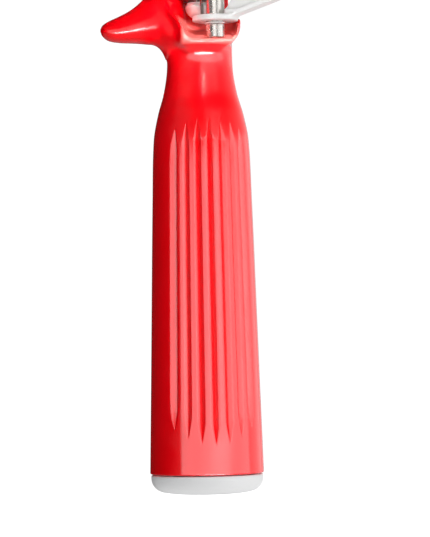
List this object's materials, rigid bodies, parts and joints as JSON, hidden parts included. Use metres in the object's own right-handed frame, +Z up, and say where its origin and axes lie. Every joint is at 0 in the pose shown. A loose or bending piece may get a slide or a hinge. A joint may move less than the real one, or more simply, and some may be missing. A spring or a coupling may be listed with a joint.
{
  "type": "thumb-press disher",
  "caption": "Kitchen disher: ribbed hollow plastic handle with a side hook, thumb lever with gear sector and return spring, geared scraper blade, steel bowl.",
  "frame": {"origin": "centre of the end cap's flat face, at the bottom of the handle", "axes": "+Z up the handle to the bowl, -Y the front where the bowl and the housing's window open, -X the hook, +X the thumb lever"},
  "size_m": [0.0692, 0.0484, 0.2224],
  "materials": {
    "handle_plastic": "glossy red moulded plastic",
    "cap_plastic": "satin light grey plastic",
    "polished_steel": "polished stainless steel",
    "spring_steel": "dark drawn spring steel",
    "bushing_plastic": "natural nylon"
  },
  "bodies": {
    "handle": {"handle_body": "handle_plastic", "end_cap": "cap_plastic", "pivot_pin": "polished_steel", "pivot_e_clip": "spring_steel", "lower_bushing": "bushing_plastic", "upper_bushing": "bushing_plastic", "bowl_shank": "polished_steel", "shank_pin_left": "polished_steel", "shank_pin_right": "polished_steel", "bowl": "polished_steel", "bowl_rivet_left": "polished_steel", "bowl_rivet_right": "polished_steel", "bowl_tip_pivot": "polished_steel"},
    "lever": {"thumb_lever": "polished_steel", "gear_sector": "polished_steel", "sector_rivet_1": "polished_steel", "sector_rivet_2": "polished_steel", "lever_washer": "bushing_plastic", "return_spring": "spring_steel"},
    "scraper": {"scraper_shaft": "polished_steel", "scraper_blade": "polished_steel", "pinion": "polished_steel", "pinion_washer": "spring_steel", "cap_nut": "polished_steel"}
  },
  "joints": [
    {"name": "lever_pivot", "type": "hinge", "parent": "handle", "child": "lever", "pos_m": [0.0032, -0.0075, 0.138], "axis": [0, 0, 1], "range_deg": [0, 60], "stiffness_Nm_per_rad": 0.25, "springref_deg": -22.92, "deforming": ["return_spring"]},
    {"name": "scraper_turn", "type": "hinge", "parent": "handle", "child": "scraper", "pos_m": [0, 0.0025, 0.192], "axis": [0, 0, 1], "range_deg": [-150, 0]}
  ],
  "couplings": [
    {"joint": "scraper_turn", "follows": "lever_pivot", "ratio": -2.5}
  ]
}
